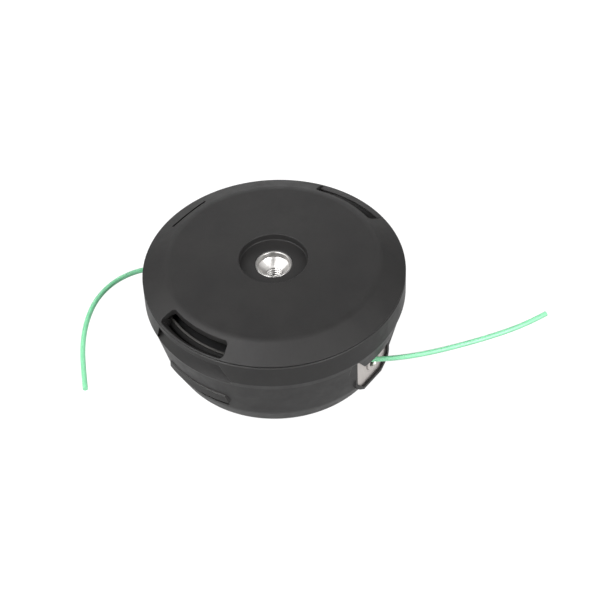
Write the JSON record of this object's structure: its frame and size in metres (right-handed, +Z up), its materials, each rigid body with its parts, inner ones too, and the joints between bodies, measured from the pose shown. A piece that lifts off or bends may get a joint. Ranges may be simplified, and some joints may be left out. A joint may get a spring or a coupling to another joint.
{
  "type": "trimmer head",
  "caption": "Round bump-feed trimmer head: bevelled cap with threaded insert, conical housing with metal eyelets, spring-loaded spool and knob, free line ends.",
  "frame": {"origin": "centre of the flat wear face of the bump knob, on the spin axis, at the lowest point of the head", "axes": "+Z up along the spin axis towards the gearbox side, +X through the right eyelet, -X through the left eyelet"},
  "size_m": [0.173, 0.1349, 0.0612],
  "materials": {
    "black_plastic": "fine matte texture",
    "spool_plastic": "smooth satin",
    "knob_plastic": "smooth satin",
    "turned_aluminium": "turned, bright",
    "eyelet_steel": "pressed sheet, satin",
    "spring_steel": "drawn wire, satin",
    "line_nylon": "smooth nylon"
  },
  "bodies": {
    "housing": {"top_cap": "black_plastic", "threaded_insert": "turned_aluminium", "lower_housing": "black_plastic", "eyelet_right": "eyelet_steel", "eyelet_left": "eyelet_steel", "free_line_right": "line_nylon", "free_line_left": "line_nylon", "feed_spring": "spring_steel"},
    "bump_stage": {"spring_washer": "spring_steel"},
    "spool_unit": {"spool": "spool_plastic", "wound_line_lower": "line_nylon", "wound_line_upper": "line_nylon", "bump_knob": "knob_plastic"}
  },
  "joints": [
    {"name": "knob_bump", "type": "slide", "parent": "housing", "child": "bump_stage", "axis": [0, 0, 1], "range_m": [0, 0.0045], "stiffness_N_per_m": 1500, "springref_m": -0.01, "deforming": ["feed_spring"]},
    {"name": "spool_index", "type": "hinge", "parent": "bump_stage", "child": "spool_unit", "pos_m": [0, 0, 0.03], "axis": [0, 0, 1], "range_deg": [-20, 0]}
  ]
}
